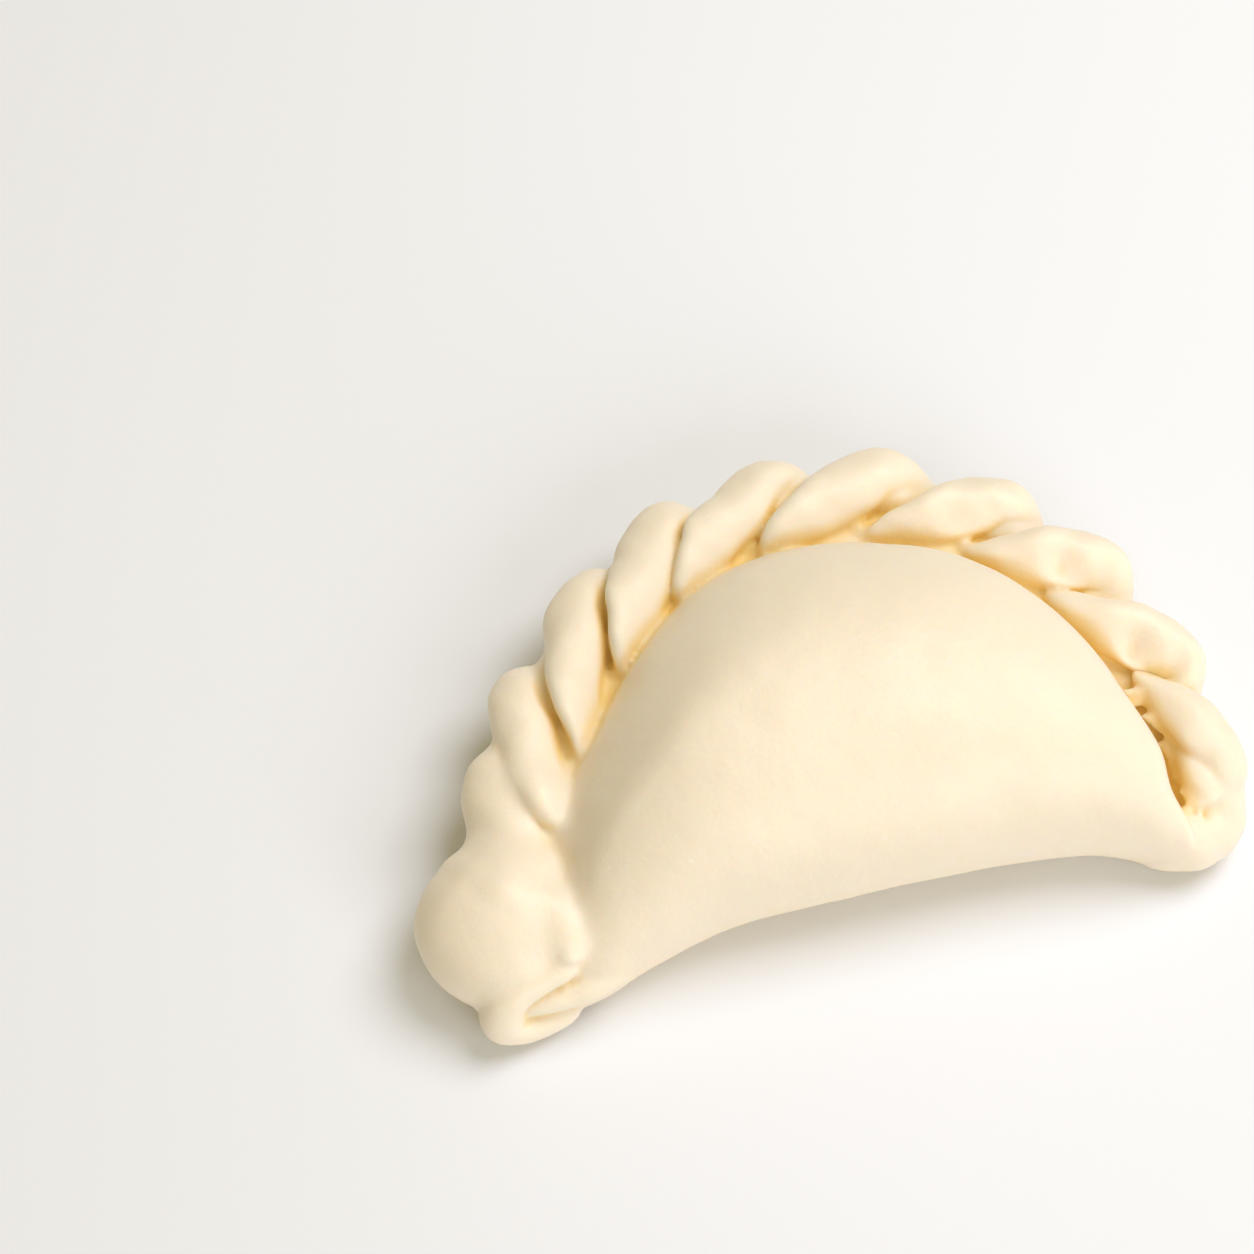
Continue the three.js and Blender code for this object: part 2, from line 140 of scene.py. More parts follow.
# Where the tails' thin edges lie along the dome, left to right, and the places along the
# rope at which one tail's edge ends and the next one begins.
DOME_EDGE = [
    (-44.4, -10.4, 11.8), (-40.2, -0.1, 12.4), (-33.9, 9, 12.6), (-27.5, 17.9, 12.6),
    (-16.3, 26.3, 12.6), (-5, 29.5, 12.6), (5.8, 30.2, 12.6), (20.3, 27.5, 12.6),
    (32.3, 16.7, 12.6), (39.4, 4, 12.6), (42.6, -5.9, 12.4), (44.4, -18.6, 11.4),
]
TAIL_TIPS = [3.5, 17.9, 34.6, 49, 65, 85.5, 106.2, 121.9, 139.6, 153.5]

# Skirts are the thin sides of the tails, from a ridge on the tail to its edge on the dome.
SKIRTED_LOBES = range(1, 8)
SKIRT_SPAN = (-1.55, -0.7)  # where along a lobe its skirt hangs, in lobe spacings
SKIRT_END = 0.93  # share of the way to the next tail's edge
SKIRT_THICKNESS = (2.6, 1.5)  # at the ridge and at the edge
SKIRT_BULGE = 0.35
SKIRT_RIDGE = 0.6  # height on the tail, as a share of the tail's half thickness
SKIRT_END_ROUNDING = 0.12
DOME_EDGE_OFFSET = 8.0  # from the rope's line inwards

FLANGE_THICKNESS = 4.5
FLANGE_RISE = (3.5, 0.0)  # left and right, as the drop
FLANGE_DROP = (1.5, 5.0)
FLANGE_RISE_SPAN = (0.45, 0.8)
FLANGE_DROP_SPAN = (0.72, 0.9)
FLANGE_SEAM_SHARE = 0.8  # of its inner edge's place, the rest being the fold's

# Rolls of dough: points of the line, then half width and half height at even steps.
STRIP_END_ROUNDING = 0.1
BULB = (
    [(-44.5, 7.5, 9.5), (-49.6, 0.2, 10.8), (-49.8, -7.4, 10.4), (-52.6, -18.5, 9.6),
     (-53.8, -30.6, 6.4)],
    [(4, 4), (5.6, 5.2), (5.9, 5.4), (12.6, 9), (7.4, 5.2)],
)
RIM = (
    [(-46.2, -10.5, 13.2), (-46, -15.5, 14.2), (-45.6, -19.5, 14.7), (-45.1, -23, 14.6),
     (-44.9, -25.8, 13.6), (-45.4, -27.8, 12)],
    [(2.2, 2), (2.5, 2.2), (2.7, 2.3), (2.7, 2.4), (2.5, 2.3), (1.9, 1.8)],
)
LIP = (
    [(-42.9, -26.6, 11.6), (-46, -27.8, 11.3), (-49, -28.5, 10.8), (-52, -29.3, 10),
     (-54.3, -30.2, 8.6), (-55.3, -31, 6.4), (-54.8, -31.6, 4.6), (-52.4, -31.9, 3.5),
     (-49.6, -31.6, 3.2), (-46.8, -30.8, 3.4), (-43.8, -29.9, 4.4)],
    [(1.6, 1.6), (2, 2), (2.1, 2.1), (2.4, 2.4), (2.9, 2.9), (3.3, 3.3), (3, 3), (2.4, 2.4),
     (2.1, 2.1), (2, 2), (1.6, 1.6)],
)
TONGUE = (
    [(-35, -25, 8.5), (-41.4, -28.8, 8), (-45.2, -30, 7.6), (-49.4, -30.6, 7.2),
     (-53.2, -30.9, 6.6)],
    [(3.5, 3.8), (2.7, 2.8), (2, 2), (1.6, 1.5), (1, 0.9)],
)
RIGHT_CORNER = (
    [(38, -21.5, 6.2), (43, -23.9, 5.8), (46.8, -25, 5.4), (50.4, -23.4, 5.6), (51.2, -18, 6.8),
     (49.4, -12, 8)],
    [(4.4, 4.8), (4.5, 4.9), (3.8, 4.3), (3.2, 4.2), (3.3, 4.6), (3.4, 4.2)],
)
INNER_FOLD = (
    [(46.2, -10.5, 8.6), (46.9, -14, 9.6), (47.7, -18, 10), (49, -21.8, 9)],
    [(1.6, 2.2), (2.3, 3.0), (2.7, 3.2), (2.0, 2.6)],
)
# Torn flakes of dough in the gap between belly and rope: corners and thickness.
FLAKES = [
    (
        [(42.4, -6.6, 11.4), (45.6, -8.6, 13), (47, -12.2, 12.8), (45.5, -12.4, 11.6),
         (44.4, -9.8, 10.8)],
        1.0,
    ),
    ([(43.6, -10.4, 9.4), (45, -11, 10.6), (45.4, -13.4, 10.8), (44.6, -14.2, 9.6)], 1.2),
    ([(44.4, -13.6, 9), (45.6, -14.2, 10.4), (45.6, -17, 10.2), (44.6, -16.6, 9)], 1.2),
    ([(46.3, -12.8, 12.4), (47.6, -14, 13), (48.2, -16.4, 12), (46.2, -15.6, 11.8)], 0.9),
    ([(44.6, -18.4, 9.8), (46.2, -19.4, 11.4), (47.2, -21.8, 10.8), (45, -21.4, 9.6)], 0.9),
    ([(40.8, -2.4, 11.6), (43.6, -3.4, 13), (44, -5.4, 12), (41.4, -4.8, 10.8)], 1),
]
# Hollows pressed into the undersides of the right lobes: line, radius and depth.
HOLLOWS = [
    ([(44.2, 2.4, 15.2), (45.8, 0.6, 14.9), (48, -1, 14.4)], 2.6, 3.4),
    ([(37, 16.6, 16.9), (39.2, 15.4, 16.5), (42.2, 14.6, 15.9)], 2.8, 2.0),
    ([(23.5, 28, 17.4), (25.7, 27.3, 16.8), (28.4, 26.9, 16.3)], 2.8, 1.3),
]

# How the fused mesh is softened, made uneven and thinned. Rounds are rounds of smoothing.
VOXEL = 0.42  # mm, grain of the fused mesh
FUSING_ROUNDS = 2
SHARPENING_ROUNDS = 10
CREASE_SHARPENING = 0.6
SADDLE_ROUNDS = 80
SADDLE_SPAN = (0.0, 4.0)  # mm outside the rope's line over which the creases soften
SADDLE_SOFTNESS = 0.9
SADDLE_SHRINKING = 0.35  # share of the softening that the round heads get
LEFT_END_X = (-37, -41)  # where the softness of the left end sets in
LEFT_END_BACK_Y = (6, -2)
LEFT_END_FRONT_Y = (-29.5, -26)
LEFT_OUTLINE_X = (-53, -56)  # beyond which the whole outline is filled too
LEFT_FILLING_ROUNDS = 90
LEFT_FILLING = 0.7  # share by which the creases round the bulb are filled
LEFT_ROUNDS = 65
LEFT_SOFTNESS = 0.85
BELLY_UNEVENNESS = 0.3  # share of the rope's unevenness
ROPE_UNEVENNESS_REACH = (11, 7)  # mm from the rope's line
EVEN_UNDERSIDE = (0.5, 4)  # mm above the table
UNEVENNESS = [(14.0, 0.3), (6.0, 0.12)]  # wavelength and height, mm
SWELL_WAVES = 9
SWELL_LENGTHS = (0.7, 1.4)  # of the wavelength
SWELL_PHASES = 6.3
SWELL_DIVISOR = 4.0  # brings the sum of the waves to about -1 to 1
DECIMATION = 0.62  # share of the fused mesh that is kept
# Narrow and wide cavities are measured against the mesh smoothed over these rounds.
CREASE_ROUNDS = 8
HOLLOW_ROUNDS = 40
CAVITY_STRENGTH = 0.9
# How open each point is to the light, which the material turns into painted light and painted
# shade: rays, their reach and start, rounds of smoothing, and how much a ray that meets the table
# counts as blocked.
SKY_RAYS = 24
SKY_REACH = 14.0
SKY_START = 0.3
SKY_ROUNDS = 3
TABLE_SHADE = 0.45

# ---------------------------------------------------------------- colours and lights

# Painted light: the pale cream goes where the dough is open to the sky.
PAINTED_LIGHT_PALE = (0.93, 0.83, 0.695, 1)
CREAM = (0.91, 0.785, 0.565, 1)
# Painted shade: the golden goes into creases, hollows and places closed in by dough or table.
PAINTED_SHADE_GOLDEN = (0.87, 0.64, 0.22, 1)
# Flour, which on the ridges is also a painted highlight.
FLOUR_AND_HIGHLIGHT = (0.97, 0.92, 0.82, 1)
# Noise of the dough: scale per metre, detail and roughness.
MOTTLING = (70.0, 5.0, 0.65)
SPECKS = (1300.0, 2.0, 0.5)
SPECK_PATCHES = (55.0, 3.0, 0.6)
SHEEN = (130.0, 4.0, 0.6)
LUMPS = (210.0, 4.0, 0.6)
GRAIN = (1100.0, 3.0, 0.6)
# Ramps: from and to of the value, then of the share it gives, which is 0 to 1 unless given.
MOTTLING_RAMP = (0.3, 0.7, -0.14, 0.14)
# Painted light: the cream turns paler the more open the point is to the sky.
PAINTED_LIGHT_WHERE_OPEN = (0.45, 0.8)
# Painted shade: golden where closed in, in narrow creases and in wide hollows.
PAINTED_SHADE_WHERE_CLOSED = (0.78, 0.36, 0.0, 0.88)
PAINTED_SHADE_IN_CREASES = (0.04, 0.5, 0.0, 0.7)
PAINTED_SHADE_IN_HOLLOWS = (0.1, 0.9, 0.0, 0.6)
# Flour and a painted highlight on the ridges, where the surface bulges.
FLOUR_AND_HIGHLIGHT_ON_RIDGES = (-0.06, -0.25, 0.0, 0.4)
SPECK_RAMP = (0.66, 0.76)
SPECK_PATCH_RAMP = (0.48, 0.62, 0.0, 0.55)
ROUGHNESS_RAMP = (0.3, 0.7, 0.38, 0.56)
SUBSURFACE_WEIGHT = 0.6
SUBSURFACE_RADIUS = (1.0, 0.7, 0.36)
SUBSURFACE_SCALE = 0.0014  # metres
SPECULAR_LEVEL = 0.45
LUMP_BUMP = (0.35, 0.0006)  # strength and distance in metres
GRAIN_BUMP = (0.2, 0.0002)

FLOOR_COLOUR = (0.87, 0.91, 1.0, 1)
FLOOR_ROUGHNESS = 0.9
FLOOR_SIDE = 3.0  # metres from the middle
LAMP_COLOUR = (1.0, 0.975, 1.0)
LAMP_AIM = (0, 0, 0.01)  # metres, as the lamps' places and sizes
KEY_PLACE = (0.35, 0.12, 0.72)
KEY_SIZE = 0.55
KEY_POWER = 4.1
FRONT_PLACE = (0.3, -0.85, 0.5)
FRONT_SIZE = 0.7
FRONT_POWER = 4.05
AMBIENT_COLOUR = (1.0, 0.87, 0.53)
AMBIENT_STRENGTH = 0.39

# ---------------------------------------------------------------- camera, matched to the photograph

VIEW_AZIMUTH = -12.0  # degrees, 0 looks along +Y
VIEW_ELEVATION = 60.0
VIEW_DISTANCE = 425.0  # mm, from the camera to the aim point
FIELD_OF_VIEW = 24.0
AIM_POINT = (0.0, 0.0, 8.0)  # in the plan above
AIM_PIXEL = (840.0, 740.0)
IMAGE_SIDE = 1254.0
SENSOR = 36.0

# ---------------------------------------------------------------- helpers


def ease(a, b, x):
    """Smooth step from 0 at a to 1 at b."""
    t = np.clip((np.asarray(x, float) - a) / (b - a), 0.0, 1.0)
    return t * t * (3.0 - 2.0 * t)


def mix(pair, x):
    """From the first of the pair at 0 to the second at 1."""
    return pair[0] + (pair[1] - pair[0]) * x


def unit(v):
    return v / np.maximum(np.linalg.norm(v, axis=-1, keepdims=True), 1e-12)


def spline(points, t):
    """Uniform Catmull-Rom through the points, t from 0 to 1."""
    p = np.asarray(points, float)
    q = np.vstack([2 * p[0] - p[1], p, 2 * p[-1] - p[-2]])
    x = np.clip(np.asarray(t, float), 0.0, 1.0) * (len(p) - 1)
    i = np.minimum(x.astype(int), len(p) - 2)
    f = (x - i)[:, None]
    a, b, c, d = q[i], q[i + 1], q[i + 2], q[i + 3]
    return 0.5 * (
        2 * b + (c - a) * f + (2 * a - 5 * b + 4 * c - d) * f**2 + (3 * b - 3 * c + d - a) * f**3
    )


class Line:
    """A curve measured by its length and carried on straight at both ends."""

    def __init__(self, points):
        points = [tuple(p) + (0.0,) * (3 - len(p)) for p in points]
        self.dense = spline(points, np.linspace(0, 1, 60 * len(points)))
        steps = np.linalg.norm(np.diff(self.dense, axis=0), axis=1)
        self.places = np.concatenate([[0.0], np.cumsum(steps)])
        self.length = self.places[-1]

    def at(self, s):
        s = np.atleast_1d(np.asarray(s, float))
        inside = np.clip(s, 0.0, self.length)
        p = np.stack([np.interp(inside, self.places, self.dense[:, i]) for i in range(3)], -1)
        first = unit(self.dense[1] - self.dense[0])
        last = unit(self.dense[-1] - self.dense[-2])
        beyond = (s - inside)[:, None]
        return p + np.where(beyond < 0, beyond * first, beyond * last)

    def frame(self, s):
        """Directions along the line, level to its left and up."""
        s = np.atleast_1d(np.asarray(s, float))
        step = 1.5
        along = unit(self.at(s + step) - self.at(s - step))
        out = unit(np.stack([-along[:, 1], along[:, 0], 0 * along[:, 0]], -1))
        return along, out, np.cross(along, out)


def ellipses(centre, across, half, upright, tall, sides):
    """Rings of points round the centres, half wide across and tall high upright."""
    angle = np.linspace(0, 2 * math.pi, sides, endpoint=False)
    c = np.cos(angle)[None, :, None]
    s = np.sin(angle)[None, :, None]
    return (
        centre[:, None]
        + across[:, None] * np.asarray(half)[:, None, None] * c
        + upright[:, None] * np.asarray(tall)[:, None, None] * s
    )


def rounded_ends(t, share):
    """Size along a piece that rounds off over that share of its length at both ends."""
    depth = np.clip(1 - np.minimum(t, 1 - t) / share, 0, 0.98)
    return np.sqrt(1 - depth * depth)


def loft(rings):
    """Vertices and faces of a closed solid through rings of shape (rows, sides, 3)."""
    rows, sides = rings.shape[:2]
    vertices = np.vstack([rings.reshape(-1, 3), rings[0].mean(0), rings[-1].mean(0)])
    i, j = np.meshgrid(np.arange(rows - 1), np.arange(sides), indexing="ij")
    k = (j + 1) % sides
    quads = np.stack([i * sides + j, i * sides + k, (i + 1) * sides + k, (i + 1) * sides + j], -1)
    faces = quads.reshape(-1, 4).tolist()
    j = np.arange(sides)
    k = (j + 1) % sides
    base = (rows - 1) * sides
    faces += np.stack([k, j, np.full(sides, rows * sides)], -1).tolist()
    faces += np.stack([base + j, base + k, np.full(sides, rows * sides + 1)], -1).tolist()
    return vertices, faces


# ---------------------------------------------------------------- shapes of the dough

rope = Line(ROPE_LINE)


def belly(sections=150, steps=26):
    """Upright sections from the fold to the seam, side by side from left to right."""
    fold, seam = Line(FOLD_PLAN), Line(SEAM_PLAN)
    t = np.linspace(0, 1, sections)
    front, back = fold.at(t * fold.length), seam.at(t * seam.length)
    width = np.linalg.norm(back - front, axis=1)
    inward = unit(back - front)
    arch = (1 - np.abs(2 * t - 1) ** ARCH_SQUARENESS) ** mix(ARCH_POWER, ease(*ARCH_SPAN, t))
    top = END_HEIGHT + (DOME_HEIGHT - END_HEIGHT) * arch
    seam_height = mix(SEAM_HEIGHT, arch)
    fold_height = mix(FOLD_HEIGHT, arch)
    under = np.minimum(mix(FOLD_RADIUS, arch), FOLD_RADIUS_LIMIT * width)
    crest = CREST * width
    flat_end = width - np.minimum(UNDERSIDE_RISE, UNDERSIDE_RISE_LIMIT * width)
    fuller = ease(*FULLNESS_SPAN, t)
    power = mix(BACK_FULLNESS, fuller)[:, None]
    rear = 2 / power
    fore = 2 / FRONT_FULLNESS
    share = np.linspace(0, 1, steps, endpoint=False)[None]
    c, s = np.cos(share * math.pi / 2), np.sin(share * math.pi / 2)
    soft = np.maximum(mix(CREST_SOFTNESS, fuller), 1e-6)[:, None]
    fallen = (np.hypot(c**rear, soft) - soft) / (np.hypot(1, soft) - soft)
    fallen = fallen ** (power * mix(CREST_POWER, fuller)[:, None])
    crest, width, under, flat_end, seam_height, fold_height, top = (
        v[:, None] for v in (crest, width, under, flat_end, seam_height, fold_height, top)
    )
    # Over the back, down the front, round the fold, along the underside and up to the seam.
    reach = [
        crest + (width - crest) * c**rear,
        crest * (1 - s**fore),
        under * (1 - c),
        under + (flat_end - under) * share,
        flat_end + (width - flat_end) * s,
    ]
    height = [
        seam_height + (top - seam_height) * np.clip(1 - fallen, 0, 1) ** (1 / power),
        fold_height + (top - fold_height) * c**fore,
        fold_height * (1 - s),
        0 * width * share,
        seam_height * (1 - c),
    ]
    reach, height = np.hstack(reach), np.hstack(height)
    lift = END_LIFT * sum(ease(*span, t) for span in END_LIFT_SPANS)[:, None]
    height = np.maximum(height, lift)
    rings = front[:, None] + reach[..., None] * inward[:, None]
    rings[..., 2] = height
    return rings


def place_of(count):
    """Place along the rope of a lobe's number, with fractions between lobes evened out."""
    places = np.array([PLACE_BEFORE_FIRST, *LOBE_PLACES, PLACE_AFTER_LAST])
    x = np.arange(len(places))

    def linear(u):
        end = len(places) - 1
        low = places[0] + u * (places[1] - places[0])
        high = places[-1] + (u - end) * (places[-1] - places[-2])
        return np.where(u < 0, low, np.where(u > end, high, np.interp(u, x, places)))

    near = 0.35
    return (linear(count - near) + 2 * linear(count) + linear(count + near)) / 4


def rightness(index):
    """0 for the lobes on the left and 1 for those on the right."""
    return ease(*RIGHT_SPAN, index / (len(LOBE_PLACES) - 1))


def lobe(index, rows=80, sides=56):
    """One lobe of the twisted edge, from its tail over its head to its hidden start."""
    count = index + 1
    right = rightness(index)
    t = np.linspace(0, 1, rows)
    shape = spline(LOBE_STATIONS, t)
    w, outward, lift, half, tall = shape.T
    w = np.where(w < 0, w * mix(LOBE_TAIL_LENGTH, right), w)
    outward = np.where(outward < 0, outward * LOBE_TAIL_REACH[index], outward)
    if index == len(LOBE_PLACES) - 1:
        w = np.where(w < 0, w * LAST_LOBE_LENGTH, w)
        behind, before = (ease(*span, w) for span in LAST_LOBE_OUTWARD_SPANS)
        outward = outward + LAST_LOBE_OUTWARD * behind * before
    place = place_of(count + w)
    _, out, up = rope.frame(place)
    offset = outward[:, None] * out + lift[:, None] * up
    centre = rope.at(place) + offset
    along = unit(np.gradient(centre, axis=0))
    across = unit(np.cross(along, unit(offset)))
    normal = np.cross(across, along)
    tail, start = (ease(*span, w)[:, None] for span in LOBE_LEAN_SPANS)
    lean = -np.radians(mix(LOBE_LEAN, right)) * tail * start
    across, normal = (
        np.cos(lean) * across + np.sin(lean) * np.cross(along, across),
        np.cos(lean) * normal + np.sin(lean) * np.cross(along, normal),
    )
    size = LOBE_SIZES[index] * rounded_ends(t, LOBE_END_ROUNDING)
    half = half * mix((1.0, mix(LOBE_TAIL_WIDTH, right)), ease(*LOBE_TAIL_WIDTH_SPAN, w))
    angle = np.linspace(0, 2 * math.pi, sides, endpoint=False)[None, :, None]
    skew = mix(LOBE_SKEW, right) * ease(*LOBE_SKEW_SPAN, w)[:, None, None]
    sideways = np.cos(angle) * (1 - skew * np.sign(np.cos(angle)))
    half, tall = (half * size)[:, None, None], (tall * size)[:, None, None]
    ring = across[:, None] * half * sideways + normal[:, None] * tall * np.sin(angle)
    return centre[:, None] + ring


def skirt(index, rows=40, steps=6):
    """The thin side of a lobe's tail, down to its edge along the dome."""
    count = index + 1
    right = rightness(index)
    u = np.linspace(0, 1, rows)
    w = mix(SKIRT_SPAN, u)
    stations = np.array(LOBE_STATIONS)
    outward = np.interp(w, stations[:, 0], stations[:, 1]) * LOBE_TAIL_REACH[index]
    lift = np.interp(w, stations[:, 0], stations[:, 2] + SKIRT_RIDGE * stations[:, 4])
    place = place_of(count + w * mix(LOBE_TAIL_LENGTH, right))
    _, out, up = rope.frame(place)
    ridge = rope.at(place) + outward[:, None] * out + lift[:, None] * up
    edge_line = Line(DOME_EDGE)
    beside = mix(TAIL_TIPS[index - 1 : index + 1], u * SKIRT_END)
    _, out, _ = rope.frame(beside)
    near = rope.at(beside) - DOME_EDGE_OFFSET * out
    nearest = np.linalg.norm(edge_line.dense[None] - near[:, None], axis=2).argmin(1)
    edge = edge_line.dense[nearest]
    normal = unit(np.cross(np.gradient(edge, axis=0), ridge - edge))
    normal *= np.where(normal[:, 2:] < 0, -1, 1) * rounded_ends(u, SKIRT_END_ROUNDING)[:, None]
    share = np.linspace(0, 1, steps)
    ring = []
    for side, along in ((1, share), (-1, share[::-1])):
        for k in along:
            bulge = SKIRT_BULGE * math.sin(math.pi * k) * side
            half = mix(SKIRT_THICKNESS, k) / 2 * side + max(bulge, 0)
            ring.append(ridge + (edge - ridge) * k + normal * half)
    return np.stack(ring, 1)


def rope_core(rows=160, sides=32):
    """The rope's body, which the lobes are wrapped round."""
    share = np.linspace(0, 1, rows)
    radius, outward, lift = spline(ROPE_CORE, share).T
    _, out, up = rope.frame(share * rope.length)
    centre = rope.at(share * rope.length) + outward[:, None] * out + lift[:, None] * up
    return ellipses(centre, out, radius, up, radius, sides)


def flange(rows=160, steps=8):
    """The flat edge of the dough that joins the belly and the rope."""
    seam, fold = Line(SEAM_PLAN), Line(FOLD_PLAN)
    t = np.linspace(0, 1, rows)
    outer = rope.at(t * rope.length)
    inner = seam.at(t * seam.length) * FLANGE_SEAM_SHARE
    inner = inner + fold.at(t * fold.length) * (1 - FLANGE_SEAM_SHARE)
    inner[:, 2] = outer[:, 2] - mix(FLANGE_DROP, ease(*FLANGE_DROP_SPAN, t))
    half = FLANGE_THICKNESS / 2
    lift = np.array([0, 0, 1.0])
    rise = mix(FLANGE_RISE, ease(*FLANGE_RISE_SPAN, t))[:, None]
    corners = [
        inner + lift * (half + rise),
        outer + lift * half,
        outer - lift * half,
        inner - lift * half,
    ]
    ring = []
    for a, b in zip(corners, corners[1:] + corners[:1]):
        for k in range(steps):
            ring.append(a + (b - a) * k / steps)
    return np.stack(ring, 1)


def strip(shape, upright=(0, 0, 1), rows=90, sides=40):
    """A round or oval roll of dough along a line."""
    line, sizes = shape
    t = np.linspace(0, 1, rows)
    centre = spline(line, t)
    along = unit(np.gradient(centre, axis=0))
    across = unit(np.cross(upright, along))
    size = spline(sizes, t) * rounded_ends(t, STRIP_END_ROUNDING)[:, None]
    return ellipses(centre, across, size[:, 0], np.cross(along, across), size[:, 1], sides)


def flake(corners, thickness):
    """A thin flat piece with straight torn edges."""
    corners = np.array(corners, float)
    normal = unit(np.cross(corners[1] - corners[0], corners[2] - corners[0]))
    half = normal * thickness / 2
    return np.stack([corners - half, corners + half])


def dough_pieces():
    pieces = [belly(), flange(), rope_core()]
    pieces += [lobe(i) for i in range(1, len(LOBE_PLACES))]
    pieces += [skirt(i) for i in SKIRTED_LOBES]
    pieces += [flake(*f) for f in FLAKES]
    pieces += [strip(end) for end in (BULB, RIM, TONGUE, RIGHT_CORNER, INNER_FOLD)]
    pieces.append(strip(LIP, upright=(0, 1, 0)))
    return [loft(p) for p in pieces]


# ---------------------------------------------------------------- one fused mesh


def join(pieces):
    vertices, faces, start = [], [], 0
    for v, f in pieces:
        vertices.append(v)
        faces += [[i + start for i in face] for face in f]
        start += len(v)
    return np.vstack(vertices), faces


def mesh_object(name, vertices, faces):
    mesh = bpy.data.meshes.new(name)
    mesh.from_pydata(vertices.tolist(), [], faces)
    made = bmesh.new()
    made.from_mesh(mesh)
    bmesh.ops.recalc_face_normals(made, faces=made.faces)
    made.to_mesh(mesh)
    made.free()
    obj = bpy.data.objects.new(name, mesh)
    bpy.context.scene.collection.objects.link(obj)
    return obj


def apply_modifiers(obj):
    graph = bpy.context.evaluated_depsgraph_get()
    mesh = bpy.data.meshes.new_from_object(obj.evaluated_get(graph))
    obj.modifiers.clear()
    obj.data = mesh


def fuse(obj, voxel):
    remesh = obj.modifiers.new("fuse", "REMESH")
    remesh.mode = "VOXEL"
    remesh.voxel_size = voxel
    remesh.use_smooth_shade = True
    apply_modifiers(obj)


def coordinates(obj):
    co = np.empty(len(obj.data.vertices) * 3)
    obj.data.vertices.foreach_get("co", co)
    return co.reshape(-1, 3)


def set_coordinates(obj, co):
    obj.data.vertices.foreach_set("co", co.ravel())
    obj.data.update()


def edges_of(obj):
    e = np.empty(len(obj.data.edges) * 2, dtype=np.int64)
    obj.data.edges.foreach_get("vertices", e)
    return e.reshape(-1, 2)


def averaged(values, edges, count):
    """Mean of each vertex's neighbours, for an array of shape (vertices, n)."""
    total = np.zeros_like(values)
    for i in range(values.shape[1]):
        total[:, i] = np.bincount(edges[:, 0], values[edges[:, 1], i], count)
        total[:, i] += np.bincount(edges[:, 1], values[edges[:, 0], i], count)
    degree = np.bincount(edges.ravel(), minlength=count)[:, None]
    return total / np.maximum(degree, 1)


def smooth(co, edges, rounds, strength=0.5):
    for _ in range(rounds):
        co = co + strength * (averaged(co, edges, len(co)) - co)
    return co


def normals_of(obj):
    n = np.empty(len(obj.data.vertices) * 3)
    obj.data.vertices.foreach_get("normal", n)
    return n.reshape(-1, 3)


def swells(points, wavelength):
    """Smooth unevenness of about -1 to 1: a sum of waves in seeded directions."""
    dice = np.random.default_rng(int(wavelength * 10))
    total = np.zeros(len(points))
    for _ in range(SWELL_WAVES):
        direction = unit(dice.normal(size=3))
        turns = 2 * math.pi / (wavelength * dice.uniform(*SWELL_LENGTHS))
        total += np.sin(points @ direction * turns + dice.uniform(0, SWELL_PHASES))
    return total / SWELL_DIVISOR


def cavity(points, normals, edges, rounds):
    """How far each point lies below its smoothed surroundings: creases are above 0."""
    depth = ((smooth(points, edges, rounds, CAVITY_STRENGTH) - points) * normals).sum(1)
    return averaged(depth[:, None], edges, len(points))[:, 0]


def openness(obj, edges, rays):
    """Share of the sky that each point sees past the dough and the table."""
    points, normals = coordinates(obj), normals_of(obj)
    faces = [tuple(f.vertices) for f in obj.data.polygons]
    tree = BVHTree.FromPolygons(points.tolist(), faces)
    turn = np.arange(rays) * math.pi * (3 - math.sqrt(5))
    height = np.sqrt((np.arange(rays) + 0.5) / rays)
    level = np.sqrt(1 - height**2)
    along_x = np.abs(normals[:, :1]) >= 0.7
    side = unit(np.cross(normals, np.where(along_x, [[0, 1.0, 0]], [[1.0, 0, 0]])))
    other = np.cross(normals, side)
    blocked = np.zeros(len(points))
    starts = [Vector(p) for p in points + normals * SKY_START]
    for k in range(rays):
        way = (
            side * (level[k] * math.cos(turn[k]))
            + other * (level[k] * math.sin(turn[k]))
            + normals * height[k]
        )
        for i, direction in enumerate(way.tolist()):
            distance = tree.ray_cast(starts[i], direction, SKY_REACH)[3]
            if distance is not None:
                blocked[i] += 1 - distance / SKY_REACH
            elif direction[2] < 0:
                blocked[i] += TABLE_SHADE
    seen = smooth(1 - blocked[:, None] / rays, edges, SKY_ROUNDS)
    return seen[:, 0]


def soften_saddles(obj, points, edges):
    """Fill the creases between the lobes on the outer side of the rope."""
    places = np.linspace(0, rope.length, 400)
    line_points = rope.at(places)
    _, line_out, _ = rope.frame(places)
    nearest = np.argmin([np.hypot(*(points[:, :2] - p).T) for p in line_points[:, :2]], axis=0)
    outward = ((points - line_points[nearest]) * line_out[nearest]).sum(1)
    set_coordinates(obj, points)
    normals = normals_of(obj)
    fill = ((smooth(points, edges, SADDLE_ROUNDS) - points) * normals).sum(1)
    fill = np.maximum(fill, SADDLE_SHRINKING * fill) * ease(*SADDLE_SPAN, outward)
    fill = averaged(fill[:, None], edges, len(points))
    return smooth(points + SADDLE_SOFTNESS * fill * normals, edges, 1)


def press_hollows(points):
    """Move the points near the lines of HOLLOWS down."""
    for line, radius, depth in HOLLOWS:
        middle_line = Line(line).dense[::12]
        away = np.min([np.linalg.norm(points - p, axis=1) for p in middle_line], axis=0)
        points[:, 2] -= depth * np.exp(-((away / radius) ** 2))


